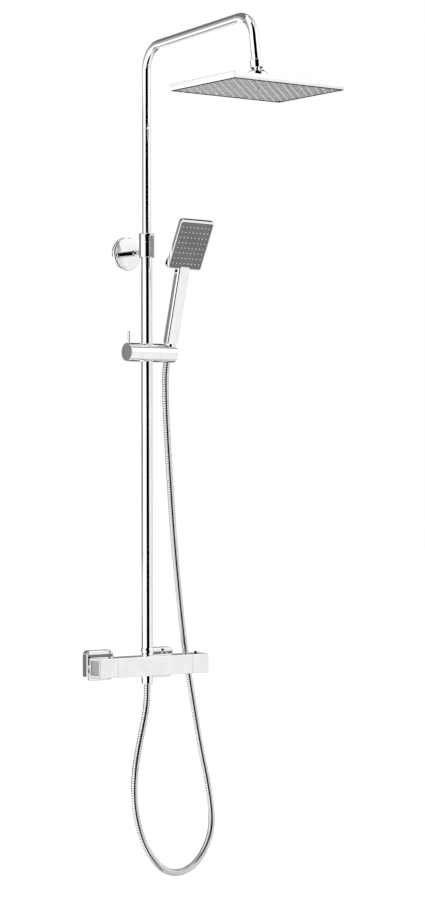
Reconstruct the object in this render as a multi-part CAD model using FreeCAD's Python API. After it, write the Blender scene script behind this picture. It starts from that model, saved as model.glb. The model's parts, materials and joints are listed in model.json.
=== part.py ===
"""Rainfall shower column: bar valve, telescopic riser with a swan neck, overhead head, slider, handset and hose.

Frame: X along the wall, +Y into the wall, +Z up. The origin is midway between the two water inlets, on the
finished wall. The riser and the bar valve share the line y = -RISER_OUT.
"""
import FreeCAD, Part
import math
import os

V = FreeCAD.Vector
AXIS_X = V(1, 0, 0)
AXIS_Y = V(0, 1, 0)
AXIS_Z = V(0, 0, 1)
OUTWARD = V(0, -1, 0)

# ---- driving dimensions, mm ----
RISER_OUT = 76.0          # riser and valve axis, from the wall
SEAT = 0.05               # radial gap of a fit that stays put
RUN = 0.05                # radial gap of a fit that turns or slides
FACE_GAP = 0.4            # end gap between a moving piece and its neighbour
CURVED_GAP = 0.3          # gap between curved faces that move past each other

# bar valve
INLET_SPACING = 150.0
BAR_SIDE = 40.0
BAR_EDGE = 2.0
BODY_LEFT = 85.0          # body's end, left of the riser
BODY_RIGHT = 100.5        # body's end, right of the riser
FLOW_KNOB_LENGTH = 42.6
TEMP_KNOB_LENGTH = 40.1
KNOB_WALL = 3.0
KNOB_END_WALL = 4.0
CAP_SIDE = 33.0
CAP_DEPTH = 1.5
CAP_INSET = 1.0
HUB_R = 8.0
HUB_START = 10.0          # hub's inner end, from the knob's open end
FLOW_CARTRIDGE_R = 12.0
FLOW_CARTRIDGE_LENGTH = 50.0
THERMO_CARTRIDGE_R = 14.0
THERMO_CARTRIDGE_LENGTH = 65.5
CARTRIDGE_INSET = 5.0     # cartridge's outer end, inside the body's end
CARTRIDGE_WALL = 3.0
CARTRIDGE_NECK = 15.0     # guided length of the spindle
FLOW_SPINDLE_R = 4.0
TEMP_SPINDLE_R = 5.0
SPINDLE_DISC_CLEAR = 0.5
CHAMBER_R = 8.0
KNOB_SCREW_R = 2.0
KNOB_SCREW_HEAD_R = 3.6
KNOB_SCREW_HEAD = 1.1
KNOB_SCREW_LENGTH = 12.0
WAX_ELEMENT_R = 5.0
WAX_ELEMENT_LENGTH = 24.0
STOP_RING_R = 12.0
STOP_RING_DEPTH = 3.0
BUTTON_R = 3.0
BUTTON_FLANGE_R = 4.2
BUTTON_FLANGE = 1.6
BUTTON_FROM_SEAM = 21.0
BUTTON_PROUD = 4.5
BUTTON_STEM = 2.6
BUTTON_SPRING_WALL = 0.9

# inlets
STUD_R = 10.48
STUD_LENGTH = 14.0
WATER_R = 7.5
PLATE_WIDTH = 65.0
PLATE_HEIGHT = 62.0
PLATE_DEPTH = 17.0
PLATE_CORNER = 9.0
PLATE_EDGE = 3.0
PLATE_WALL = 2.2
CONNECTOR_R = 12.5
FLANGE_R = 14.5
FLANGE_DEPTH = 6.0
SPIGOT_R = 13.2
SPIGOT_LENGTH = 24.0      # thread and neck together
KNOB_SWING_CLEAR = 1.0    # between the turning knob's corners and the union nut
WASHER_DEPTH = 2.0
UNION_FLATS = 31.0
UNION_LIP = 2.0
CHECK_VALVE_LENGTH = 14.0
CHECK_VALVE_WALL = 1.2

# riser
LOWER_R = 11.5
LOWER_WALL = 1.5
UPPER_R = 9.0
UPPER_WALL = 1.0
RISER_SPIGOT_R = 10.0
RISER_SPIGOT = 8.0
RISER_BORE_R = 7.0
RISER_WASHER = 1.5
UNION_BULGE_R = 13.2
UNION_NECK_R = 11.4
UNION_HEIGHT = 15.5
LOWER_TOP_Z = 868.0
UPPER_BOTTOM_Z = 600.0
GUIDE_LENGTH = 40.0
GUIDE_LIP = 2.0

# wall bracket
BRACKET_Z = 846.0
DISC_R = 34.5
DISC_DEPTH = 7.2
DISC_SHELL = 1.6
DISC_RIM = 3.5
BASE_R = 20.0
BASE_DEPTH = 4.0
BASE_BOSS_R = 5.0
BASE_BOSS = 10.0
BRACKET_HOLE_R = 2.5
BRACKET_HOLE_SPACING = 24.0
STANDOFF_R = 6.0
STANDOFF_END = 34.0
STEM_R = 4.0
STEM_START = 16.0
LOCK_NUT_R = 7.8
LOCK_NUT_DEPTH = 4.0
FLARE_R = 9.0
FLARE_LENGTH = 11.0
COLLAR_R = 16.0
COLLAR_BELOW = 12.0       # below the bracket's axis
COLLAR_ABOVE = 18.5
NUT_HEIGHT = 18.5
NUT_LIP = 7.0
NUT_CHAMFER = 1.5
COVER_WIDTH = 10.0
COVER_PROUD = 4.0
COVER_ABOVE = 32.0

# swan neck
ARM_CORNER_Z = 1262.9     # where the arm's line meets the riser's
ARM_RISE = 3.06           # degrees
DROP_LEAN = 8.2           # degrees, outward going down
BEND_R = 48.0
BALL_OUT = 450.0
BALL_Z = 1162.0
BALL_R = 10.0
BALL_NECK_R = 6.2
BALL_BORE_R = 3.0
ARM_END = 18.0            # end of the tube, along the stem from the ball's centre
STEM_FLANGE = 3.0
ARM_NUT_R = 12.3
ARM_NUT_START = 12.6
ARM_NUT_LENGTH = 15.2
LINER_WALL = 1.7
LINER_TOP = 62.0          # degrees from the vertical
LINER_BOTTOM = 128.0
SOCKET_OPENING = 55.0
SOCKET_BOTTOM = 130.0
SWIVEL_NUT_R = 19.8
SWIVEL_SHOULDER = 3.0     # top of the nut's side, above the ball's centre
SWIVEL_SPLIT = 4.0        # joint of nut and socket, below the ball's centre
SWIVEL_SOCKET_R = 17.0

# overhead head
HEAD_LENGTH = 262.0       # along the wall, at the underside
HEAD_WIDTH = 203.0        # out from the wall, at the underside
HEAD_DEPTH = 12.1
HEAD_TOP_Z = 1143.4
HEAD_FLARE = 2.0          # the rim's upper part stands out past the underside
HEAD_FLARE_HEIGHT = 5.5
HEAD_CORNER = 1.5
HEAD_WALL = 2.0
HEAD_ROOF = 1.5
FACE_THICK = 2.2
FACE_INSET = 0.8
NOZZLE_PITCH = 20.0
NOZZLE_R = 1.9
NOZZLE_TIP_R = 1.2
NOZZLE_DROP = 2.0
NOZZLE_MARGIN = 11.0
CAP_R = 8.5
CAP_DROP = 1.6

# slider
SLIDER_Z = 639.4
BARREL_R = 19.05
BODY_HALF = 23.0
CLAMP_LENGTH = 27.0
HOLDER_LENGTH = 43.0
BUSH_WALL = 2.0
BUSH_HALF = 18.0
CLAMP_SCREW_R = 4.0
CLAMP_SCREW_GRIP = 16.0
LEVER_R = 2.75
LEVER_FROM_END = 6.0
LEVER_RISE = 24.0
LEVER_ROOT = 6.0
PIVOT_R = 7.0
PIVOT_LENGTH = 8.0
SLOT_WIDTH = 15.4

# handset, stations run along the cone's axis from the slider's axis
CONE_OUT_X = 54.0
HANDSET_LEAN = 16.0       # degrees
HANDSET_TURN = 6.0        # degrees about the cone's axis, right side outward
CONE_BOTTOM = -15.0
CONE_TOP = 22.0
CONE_BOTTOM_R = 10.3
CONE_TOP_R = 12.2
CONE_SEAT = 7.0
INLET_R = 9.5
INLET_END = 7.0
FERRULE_R = 7.7
FERRULE_END = -19.0
HANDLE_WIDTH = 27.0
HANDLE_FRONT = 10.0
HANDLE_BACK = 8.0
HANDLE_TOP = 183.2
HANDLE_EDGE = 4.5
HANDLE_BORE_R = 6.0
SPRAY_LEAN = 13.6         # degrees, spray head against the handle
SPRAY_WIDTH = 78.6
SPRAY_LENGTH = 109.5
SPRAY_DEPTH = 11.0
SPRAY_CORNER = 6.0
SPRAY_BACK_EDGE = 4.0
SPRAY_EDGE_STATION = 177.4
SPRAY_EDGE_FRONT = 8.4
SPRAY_RIM = 2.4
SPRAY_RIM_TOP = 4.7
SPRAY_FOOT = 4.0          # thicker foot behind the spray head
SPRAY_FOOT_LENGTH = 20.0
SPRAY_FACE = 1.5
SPRAY_FACE_CORNER = 4.0
SPRAY_CAVITY_WALL = 4.5
SPRAY_NOZZLES = 8
SPRAY_PITCH_X = 8.6
SPRAY_PITCH_Z = 11.5
SPRAY_NOZZLES_MIDDLE = 53.8
SPRAY_NOZZLE_R = 1.5
SPRAY_NOZZLE_TIP_R = 1.1
SPRAY_NOZZLE_RISE = 0.8

# hose
HOSE_R = 7.0
VALVE_SPIGOT_R = 10.4
VALVE_SPIGOT = 10.0
HOSE_NUT_R = 11.7
HOSE_NUT_DEPTH = 17.5
HOSE_WASHER = 2.0
HOSE_OUT_Z = -38.0

# ---- places worked out from them ----
RISER_Y = -RISER_OUT
HALF_BAR = BAR_SIDE / 2
INLET_X = INLET_SPACING / 2
SPIGOT_OUT = RISER_OUT - HALF_BAR - SPIGOT_LENGTH
FLANGE_OUT = SPIGOT_OUT - WASHER_DEPTH
SPIGOT_NECK_OUT = RISER_OUT - HALF_BAR * math.sqrt(2) - KNOB_SWING_CLEAR
SPIGOT_NECK_R = BODY_LEFT - INLET_X
RISER_START_Z = HALF_BAR + RISER_SPIGOT + RISER_WASHER
LOWER_BORE_R = LOWER_R - LOWER_WALL
COLLAR_BOTTOM_Z = BRACKET_Z - COLLAR_BELOW
COLLAR_TOP_Z = BRACKET_Z + COLLAR_ABOVE
NUT_TOP_Z = COLLAR_TOP_Z + NUT_HEIGHT
BALL = V(0, -BALL_OUT, BALL_Z)
STEM_UP = V(0, math.sin(math.radians(DROP_LEAN)), math.cos(math.radians(DROP_LEAN)))
LINER_R = BALL_R + CURVED_GAP
SOCKET_R = LINER_R + LINER_WALL + CURVED_GAP
HEAD_BOTTOM_Z = HEAD_TOP_Z - HEAD_DEPTH
FACE_BOTTOM_Z = HEAD_BOTTOM_Z + FACE_INSET
CONE_CENTRE = V(CONE_OUT_X, RISER_Y, SLIDER_Z)
CONE_UP = V(0, -math.sin(math.radians(HANDSET_LEAN)), math.cos(math.radians(HANDSET_LEAN)))
HOLDER_END_X = BODY_HALF + HOLDER_LENGTH

# The hose's route, from under the holder down behind the bar valve, round its loop and up to the valve. Each
# point is (x, out from the wall, z). The first and last lie on the two ferrules' ends.
HOSE_ROUTE = [
    (54.0, 70.757, 621.117),
    (54.0, 65.6, 603.1),
    (58.0, 60.0, 560.0),
    (65.5, 53.0, 495.0),
    (78.0, 45.5, 395.0),
    (92.0, 38.0, 280.0),
    (108.0, 34.0, 155.0),
    (127.0, 31.0, 25.0),
    (143.0, 37.0, -82.0),
    (154.0, 49.0, -180.0),
    (164.0, 58.0, -245.0),
    (171.0, 64.0, -306.0),
    (169.0, 68.0, -345.0),
    (157.0, 70.0, -376.0),
    (138.0, 72.0, -403.0),
    (112.0, 73.5, -423.0),
    (77.0, 75.0, -432.0),
    (41.0, 76.0, -423.0),
    (13.0, 76.0, -396.0),
    (-9.0, 76.0, -363.0),
    (-24.0, 76.0, -322.0),
    (-33.0, 76.0, -275.0),
    (-32.0, 76.0, -222.0),
    (-22.0, 76.0, -168.0),
    (-9.0, 76.0, -118.0),
    (0.0, RISER_OUT, -76.0),
    (0.0, RISER_OUT, HOSE_OUT_Z),
]


# ---- shape helpers ----
def rod(radius, start, end, base, axis):
    """Round bar between two stations along an axis through base."""
    return Part.makeCylinder(radius, end - start, base + axis * start, axis)


def tube(outer, inner, start, end, base, axis):
    return rod(outer, start, end, base, axis).cut(rod(inner, start, end, base, axis))


def box(x0, x1, y0, y1, z0, z1):
    return Part.makeBox(x1 - x0, y1 - y0, z1 - z0, V(x0, y0, z0))


def turned(profile, base, axis):
    """Solid of revolution. A profile point is (radius, station); a pair of points is an arc through the first."""
    edges = []
    first = last = V(profile[0][0], 0, profile[0][1])
    for step in profile[1:] + [profile[0]]:
        if isinstance(step[0], tuple):
            middle, end = [V(r, 0, s) for r, s in step]
            edges.append(Part.Arc(last, middle, end).toShape())
        else:
            end = V(step[0], 0, step[1])
            edges.append(Part.LineSegment(last, end).toShape())
        last = end
    solid = Part.Face(Part.Wire(edges)).revolve(V(0, 0, 0), AXIS_Z, 360)
    if solid.Volume < 0:
        solid.reverse()
    solid.Placement = FreeCAD.Placement(base, FreeCAD.Rotation(AXIS_Z, axis))
    return solid


def edges_along(shape, axis):
    """Straight edges that run along an axis."""
    found = []
    for edge in shape.Edges:
        if isinstance(edge.Curve, Part.Line) and abs(edge.tangentAt(edge.FirstParameter).dot(axis)) > 0.999:
            found.append(edge)
    return found


def edges_at(shape, axis, station):
    """Edges that lie wholly in the plane at a station along an axis."""
    found = []
    for edge in shape.Edges:
        ends = [edge.valueAt(edge.FirstParameter), edge.valueAt(edge.LastParameter)]
        middle = edge.valueAt((edge.FirstParameter + edge.LastParameter) / 2)
        if all(abs(p.dot(axis) - station) < 0.001 for p in ends + [middle]):
            found.append(edge)
    return found


def ball_point(radius, degrees):
    """Profile point on a sphere, by its angle from the axis."""
    return (radius * math.sin(math.radians(degrees)), radius * math.cos(math.radians(degrees)))


def ball_arc(radius, start, end):
    """Profile arc on a sphere between two angles from the axis."""
    return (ball_point(radius, (start + end) / 2), ball_point(radius, end))


def group(solids):
    return Part.makeCompound(solids)


def at_inlets(make):
    """A left and a right copy of a piece that lies on an inlet's axis."""
    return [make(V(side * INLET_X, 0, 0)) for side in (-1, 1)]


def save(name, shape):
    if not shape.isValid():
        raise ValueError(name + " is not a valid shape")
    shape.exportStep("parts/" + name + ".step")
    print(name, "solids", len(shape.Solids), "volume", round(shape.Volume))


# ---- inlets, left and right ----
def wall_plate(centre):
    half_x = PLATE_WIDTH / 2
    half_z = PLATE_HEIGHT / 2
    plate = box(-half_x, half_x, -PLATE_DEPTH, 0, -half_z, half_z)
    plate = plate.makeFillet(PLATE_CORNER, edges_along(plate, AXIS_Y))
    plate = plate.makeFillet(PLATE_EDGE, edges_at(plate, AXIS_Y, -PLATE_DEPTH))
    inner_x = half_x - PLATE_WALL
    inner_z = half_z - PLATE_WALL
    hollow = box(-inner_x, inner_x, PLATE_WALL - PLATE_DEPTH, 0, -inner_z, inner_z)
    hollow = hollow.makeFillet(PLATE_CORNER - PLATE_WALL, edges_along(hollow, AXIS_Y))
    plate = plate.cut(hollow).cut(rod(CONNECTOR_R + SEAT, 0, PLATE_DEPTH, V(0, 0, 0), OUTWARD))
    plate.translate(centre)
    return plate


def wall_connector(centre):
    stud = rod(STUD_R, -STUD_LENGTH, 0, centre, OUTWARD)
    body = rod(CONNECTOR_R, 0, FLANGE_OUT, centre, OUTWARD)
    flange = rod(FLANGE_R, FLANGE_OUT - FLANGE_DEPTH, FLANGE_OUT, centre, OUTWARD)
    bore = rod(WATER_R, -STUD_LENGTH, FLANGE_OUT, centre, OUTWARD)
    return stud.fuse([body, flange]).cut(bore).removeSplitter()


def hexagon(flats, start, end, base):
    """Hexagonal bar that stands out of the wall."""
    corner = flats / math.sqrt(3)
    points = [V(corner * math.cos(math.radians(60 * i)), 0, corner * math.sin(math.radians(60 * i))) for i in range(7)]
    bar = Part.Face(Part.makePolygon(points)).extrude(OUTWARD * (end - start))
    bar.translate(base + OUTWARD * start)
    return bar


def union_nut(centre):
    start = FLANGE_OUT - FLANGE_DEPTH - UNION_LIP
    nut = hexagon(UNION_FLATS, start, SPIGOT_NECK_OUT, centre)
    nut = nut.cut(rod(CONNECTOR_R + SEAT, start, start + UNION_LIP, centre, OUTWARD))
    nut = nut.cut(rod(FLANGE_R + SEAT, start + UNION_LIP, SPIGOT_OUT, centre, OUTWARD))
    return nut.cut(rod(SPIGOT_R + SEAT, SPIGOT_OUT, SPIGOT_NECK_OUT, centre, OUTWARD))


def inlet_washer(centre):
    return tube(SPIGOT_R, WATER_R, FLANGE_OUT, SPIGOT_OUT, centre, OUTWARD)


def check_valve(centre):
    start = SPIGOT_OUT + WASHER_DEPTH
    end = start + CHECK_VALVE_LENGTH
    outer = WATER_R - SEAT
    shell = tube(outer, outer - CHECK_VALVE_WALL, start, end, centre, OUTWARD)
    middle = (start + end) / 2
    rib = rod(outer, middle - 1, middle + 1, centre, OUTWARD)
    poppet = rod(CHECK_VALVE_WALL * 2, start, end, centre, OUTWARD)
    web = box(-outer, outer, -middle - 1, 1 - middle, -CHECK_VALVE_WALL, CHECK_VALVE_WALL)
    web.translate(centre)
    return shell.fuse([web.common(rib), poppet]).removeSplitter()


# ---- bar valve ----
VALVE_CENTRE = V(0, RISER_Y, 0)


def inlet_spigot(centre):
    """Threaded end for the union nut, on a neck that clears the turning flow knob."""
    thread = rod(SPIGOT_R, SPIGOT_OUT, SPIGOT_NECK_OUT, centre, OUTWARD)
    neck = rod(SPIGOT_NECK_R, SPIGOT_NECK_OUT, RISER_OUT - HALF_BAR, centre, OUTWARD)
    return thread.fuse(neck)


def valve_body():
    bar = box(-BODY_LEFT, BODY_RIGHT, RISER_Y - HALF_BAR, RISER_Y + HALF_BAR, -HALF_BAR, HALF_BAR)
    bar = bar.makeFillet(BAR_EDGE, edges_along(bar, AXIS_X))
    top = rod(RISER_SPIGOT_R, HALF_BAR, HALF_BAR + RISER_SPIGOT, VALVE_CENTRE, AXIS_Z)
    bottom = rod(VALVE_SPIGOT_R, -HALF_BAR - VALVE_SPIGOT, -HALF_BAR, VALVE_CENTRE, AXIS_Z)
    body = bar.fuse(at_inlets(inlet_spigot) + [top, bottom])
    flow_end = BODY_LEFT - CARTRIDGE_INSET - FLOW_CARTRIDGE_LENGTH
    thermo_end = BODY_RIGHT - CARTRIDGE_INSET - THERMO_CARTRIDGE_LENGTH
    bores = [
        rod(FLOW_CARTRIDGE_R + SEAT, flow_end, BODY_LEFT, VALVE_CENTRE, -AXIS_X),
        rod(THERMO_CARTRIDGE_R + SEAT, thermo_end, BODY_RIGHT, VALVE_CENTRE, AXIS_X),
        rod(CHAMBER_R, -flow_end, thermo_end, VALVE_CENTRE, AXIS_X),
        rod(RISER_BORE_R, 0, HALF_BAR + RISER_SPIGOT, VALVE_CENTRE, AXIS_Z),
        rod(RISER_BORE_R, -HALF_BAR - VALVE_SPIGOT, 0, VALVE_CENTRE, AXIS_Z),
    ]
    for side in (-1, 1):
        bores.append(rod(WATER_R, SPIGOT_OUT, RISER_OUT, V(side * INLET_X, 0, 0), OUTWARD))
    return body.cut(bores).removeSplitter()


def cartridge(radius, outer_end, length, spindle_r, axis):
    """Fixed cartridge: a cup with a guided neck for its spindle and a side port to its inlet."""
    inner_end = outer_end - length
    housing = rod(radius, inner_end, outer_end, VALVE_CENTRE, axis)
    chamber = rod(radius - CARTRIDGE_WALL, inner_end + CARTRIDGE_WALL, outer_end - CARTRIDGE_NECK, VALVE_CENTRE, axis)
    guide = rod(spindle_r + RUN, outer_end - CARTRIDGE_NECK, outer_end, VALVE_CENTRE, axis)
    outlet = rod(spindle_r, inner_end, inner_end + CARTRIDGE_WALL, VALVE_CENTRE, axis)
    port_x = outer_end - CARTRIDGE_NECK - CARTRIDGE_WALL - spindle_r
    port = rod(spindle_r, 0, radius + 1, VALVE_CENTRE + axis * port_x, AXIS_Y)
    return housing.cut([chamber, guide, outlet, port])


def spindle(radius, cartridge_r, cartridge_end, knob_end, axis):
    """Turning spindle with a control disc inside the cartridge, drilled for the knob's screw."""
    disc_end = cartridge_end - CARTRIDGE_NECK - CARTRIDGE_WALL
    shaft = rod(radius, disc_end, knob_end, VALVE_CENTRE, axis)
    disc_r = cartridge_r - CARTRIDGE_WALL - SPINDLE_DISC_CLEAR
    disc = rod(disc_r, disc_end - CARTRIDGE_WALL, disc_end, VALVE_CENTRE, axis)
    hole = rod(KNOB_SCREW_R, knob_end - KNOB_SCREW_LENGTH, knob_end, VALVE_CENTRE, axis)
    return shaft.fuse(disc).cut(hole).removeSplitter()


def knob_stations(length):
    """Stations along a knob, from its open end: spindle's end, floor of the pocket, floor of the recess."""
    recess = length - CAP_DEPTH - CAP_INSET
    floor = recess - KNOB_END_WALL + CAP_DEPTH
    return floor - 1, floor, recess


def square_knob(length, spindle_r):
    """Square hollow knob that opens at the origin and points along +X, with a bored hub."""
    spindle_end, floor, recess = knob_stations(length)
    shell = box(0, length, -HALF_BAR, HALF_BAR, -HALF_BAR, HALF_BAR)
    shell = shell.makeFillet(BAR_EDGE, edges_along(shell, AXIS_X))
    inner = HALF_BAR - KNOB_WALL
    pocket = box(0, floor, -inner, inner, -inner, inner)
    half_cap = CAP_SIDE / 2 + SEAT
    panel = box(recess, length, -half_cap, half_cap, -half_cap, half_cap)
    origin = V(0, 0, 0)
    hub = rod(HUB_R, HUB_START, floor, origin, AXIS_X)
    bore = rod(spindle_r, HUB_START, spindle_end, origin, AXIS_X)
    screw = rod(KNOB_SCREW_R, spindle_end, recess, origin, AXIS_X)
    head = rod(KNOB_SCREW_HEAD_R, recess - KNOB_SCREW_HEAD, recess, origin, AXIS_X)
    return shell.cut([pocket, panel]).fuse(hub).cut([bore, screw, head]).removeSplitter()


def end_cap(length):
    recess = knob_stations(length)[2]
    half = CAP_SIDE / 2
    return box(recess, recess + CAP_DEPTH, -half, half, -half, half)


def knob_screw(length):
    spindle_end, _, recess = knob_stations(length)
    origin = V(0, 0, 0)
    head = rod(KNOB_SCREW_HEAD_R - SEAT, recess - KNOB_SCREW_HEAD, recess, origin, AXIS_X)
    shank = rod(KNOB_SCREW_R - SEAT, spindle_end - KNOB_SCREW_LENGTH + 1, recess, origin, AXIS_X)
    return head.fuse(shank).removeSplitter()


def on_right(shape):
    shape.translate(V(BODY_RIGHT + FACE_GAP, RISER_Y, 0))
    return shape


def on_left(shape):
    shape = shape.mirror(V(0, 0, 0), AXIS_X)
    shape.translate(V(-BODY_LEFT - FACE_GAP, RISER_Y, 0))
    return shape


BUTTON_X = BODY_RIGHT + FACE_GAP + BUTTON_FROM_SEAM
BUTTON_CENTRE = V(BUTTON_X, RISER_Y, 0)
BUTTON_WALL_Z = HALF_BAR - KNOB_WALL
BUTTON_BOTTOM_Z = BUTTON_WALL_Z - BUTTON_FLANGE - BUTTON_STEM


def temperature_knob():
    knob = on_right(square_knob(TEMP_KNOB_LENGTH, TEMP_SPINDLE_R))
    hole = rod(BUTTON_R + RUN, BUTTON_WALL_Z - 1, HALF_BAR + 1, BUTTON_CENTRE, AXIS_Z)
    return knob.cut(hole)


def safety_button():
    cap = rod(BUTTON_R, BUTTON_BOTTOM_Z, HALF_BAR + BUTTON_PROUD, BUTTON_CENTRE, AXIS_Z)
    flange = rod(BUTTON_FLANGE_R, BUTTON_WALL_Z - BUTTON_FLANGE, BUTTON_WALL_Z, BUTTON_CENTRE, AXIS_Z)
    return cap.fuse(flange).removeSplitter()


def button_spring():
    return tube(BUTTON_R, BUTTON_R - BUTTON_SPRING_WALL, HUB_R, BUTTON_BOTTOM_Z, BUTTON_CENTRE, AXIS_Z)


def stop_ring():
    ring = tube(STOP_RING_R, TEMP_SPINDLE_R + CURVED_GAP, BODY_RIGHT, BODY_RIGHT + STOP_RING_DEPTH, VALVE_CENTRE, AXIS_X)
    neck = tube(THERMO_CARTRIDGE_R, TEMP_SPINDLE_R + CURVED_GAP, BODY_RIGHT - CARTRIDGE_INSET, BODY_RIGHT,
                VALVE_CENTRE, AXIS_X)
    return ring.fuse(neck).removeSplitter()


def wax_element():
    start = BODY_RIGHT - CARTRIDGE_INSET - THERMO_CARTRIDGE_LENGTH + CARTRIDGE_WALL
    foot = rod(THERMO_CARTRIDGE_R - CARTRIDGE_WALL - SEAT, start, start + 2, VALVE_CENTRE, AXIS_X)
    pill = rod(WAX_ELEMENT_R, start, start + WAX_ELEMENT_LENGTH, VALVE_CENTRE, AXIS_X)
    return foot.fuse(pill).removeSplitter()


# ---- riser ----
def riser_union_nut():
    bottom = HALF_BAR
    seat = HALF_BAR + RISER_SPIGOT
    top = HALF_BAR + UNION_HEIGHT
    waist = bottom + 3
    profile = [
        (RISER_SPIGOT_R + SEAT, bottom), (UNION_NECK_R, bottom), (UNION_NECK_R, waist),
        ((UNION_BULGE_R, (waist + top) / 2), (LOWER_R + 4 * SEAT, top)),
        (LOWER_R + SEAT, top), (LOWER_R + SEAT, seat), (RISER_SPIGOT_R + SEAT, seat),
    ]
    return turned(profile, VALVE_CENTRE, AXIS_Z)


def riser_washer():
    seat = HALF_BAR + RISER_SPIGOT
    return tube(LOWER_R, RISER_BORE_R, seat, RISER_START_Z, VALVE_CENTRE, AXIS_Z)


def lower_riser_tube():
    return tube(LOWER_R, LOWER_BORE_R, RISER_START_Z, LOWER_TOP_Z, VALVE_CENTRE, AXIS_Z)


def riser_guide_bush():
    outer = LOWER_BORE_R - RUN
    sleeve = tube(outer, UPPER_R + RUN, UPPER_BOTTOM_Z, UPPER_BOTTOM_Z + GUIDE_LENGTH, VALVE_CENTRE, AXIS_Z)
    lip = tube(outer, UPPER_R - UPPER_WALL, UPPER_BOTTOM_Z - GUIDE_LIP, UPPER_BOTTOM_Z, VALVE_CENTRE, AXIS_Z)
    return sleeve.fuse(lip).removeSplitter()


# ---- wall bracket ----
BRACKET = V(0, 0, BRACKET_Z)


def bracket_base():
    plate = rod(BASE_R, 0, BASE_DEPTH, BRACKET, OUTWARD)
    boss = rod(BASE_BOSS_R, BASE_DEPTH, BASE_DEPTH + BASE_BOSS, BRACKET, OUTWARD)
    holes = [
        rod(BRACKET_HOLE_R, 0, BASE_DEPTH, BRACKET + AXIS_X * (side * BRACKET_HOLE_SPACING / 2), OUTWARD)
        for side in (-1, 1)
    ]
    return plate.fuse(boss).cut(holes).removeSplitter()


def bracket_disc():
    hole = STANDOFF_R + SEAT
    rim = DISC_RIM
    slope = DISC_DEPTH - rim
    profile = [
        (hole, DISC_DEPTH), (DISC_R - slope, DISC_DEPTH),
        ((DISC_R - 0.35 * slope, DISC_DEPTH - 0.35 * slope), (DISC_R - 0.3, rim)),
        (DISC_R, rim), (DISC_R, 0), (DISC_R - DISC_SHELL, 0), (DISC_R - DISC_SHELL, rim - 0.6),
        (DISC_R - slope - DISC_SHELL, DISC_DEPTH - DISC_SHELL), (hole, DISC_DEPTH - DISC_SHELL),
    ]
    return turned(profile, BRACKET, OUTWARD)


def bracket_standoff():
    post = rod(STANDOFF_R, BASE_DEPTH, STANDOFF_END, BRACKET, OUTWARD)
    socket = rod(BASE_BOSS_R + SEAT, BASE_DEPTH, BASE_DEPTH + BASE_BOSS, BRACKET, OUTWARD)
    bore = rod(STEM_R + SEAT, BASE_DEPTH + BASE_BOSS, STANDOFF_END, BRACKET, OUTWARD)
    return post.cut([socket, bore])


def bracket_lock_nut():
    end = STANDOFF_END + LOCK_NUT_DEPTH
    bevel = 0.8
    profile = [
        (STEM_R + SEAT, STANDOFF_END), (LOCK_NUT_R - bevel, STANDOFF_END), (LOCK_NUT_R, STANDOFF_END + bevel),
        (LOCK_NUT_R, end - bevel), (LOCK_NUT_R - bevel, end), (STEM_R + SEAT, end),
    ]
    return turned(profile, BRACKET, OUTWARD)


def bracket_stem():
    """Stem whose flared end is scribed to the collar."""
    touch = RISER_OUT - COLLAR_R
    flare = touch - FLARE_LENGTH
    waist = STEM_R - 0.5
    profile = [
        (0, STEM_START), (STEM_R, STEM_START), (STEM_R, flare - 4), (waist, flare - 2),
        ((STEM_R + 1, flare + 4), (FLARE_R, touch + 1)), (FLARE_R, touch + 5), (0, touch + 5),
    ]
    stem = turned(profile, BRACKET, OUTWARD)
    return stem.cut(rod(COLLAR_R, COLLAR_BOTTOM_Z, COLLAR_TOP_Z, VALVE_CENTRE, AXIS_Z))


def bracket_collar():
    bevel = 0.6
    profile = [
        (LOWER_R + SEAT, COLLAR_BOTTOM_Z), (COLLAR_R - bevel, COLLAR_BOTTOM_Z), (COLLAR_R, COLLAR_BOTTOM_Z + bevel),
        (COLLAR_R, COLLAR_TOP_Z - bevel), (COLLAR_R - bevel, COLLAR_TOP_Z), (LOWER_R + SEAT, COLLAR_TOP_Z),
    ]
    return turned(profile, VALVE_CENTRE, AXIS_Z)


def collar_cover():
    """Cover strip over the collar's clamp screw. It stands off the nut above the collar."""
    half = COVER_WIDTH / 2
    front = RISER_Y - COLLAR_R - COVER_PROUD
    strip = box(-half, half, front, RISER_Y, COLLAR_BOTTOM_Z, BRACKET_Z + COVER_ABOVE)
    strip = strip.makeFillet(BAR_EDGE, edges_at(strip, AXIS_Y, front))
    strip = strip.cut(rod(COLLAR_R, COLLAR_BOTTOM_Z - 1, COLLAR_TOP_Z, VALVE_CENTRE, AXIS_Z))
    return strip.cut(rod(COLLAR_R + CURVED_GAP, COLLAR_TOP_Z, NUT_TOP_Z, VALVE_CENTRE, AXIS_Z))


def compression_nut():
    lip_z = NUT_TOP_Z - NUT_LIP
    throat = UPPER_R + CURVED_GAP
    profile = [
        (LOWER_R + 2 * SEAT, COLLAR_TOP_Z), (COLLAR_R - 0.6, COLLAR_TOP_Z), (COLLAR_R, COLLAR_TOP_Z + 0.6),
        (COLLAR_R, NUT_TOP_Z - NUT_CHAMFER), (COLLAR_R - NUT_CHAMFER, NUT_TOP_Z),
        (throat + NUT_CHAMFER, NUT_TOP_Z), (throat, NUT_TOP_Z - NUT_CHAMFER),
        (throat, lip_z), (LOWER_R + 2 * SEAT, lip_z),
    ]
    return turned(profile, VALVE_CENTRE, AXIS_Z)


def compression_ring():
    return tube(LOWER_R, UPPER_R + RUN, LOWER_TOP_Z, NUT_TOP_Z - NUT_LIP, VALVE_CENTRE, AXIS_Z)


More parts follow.
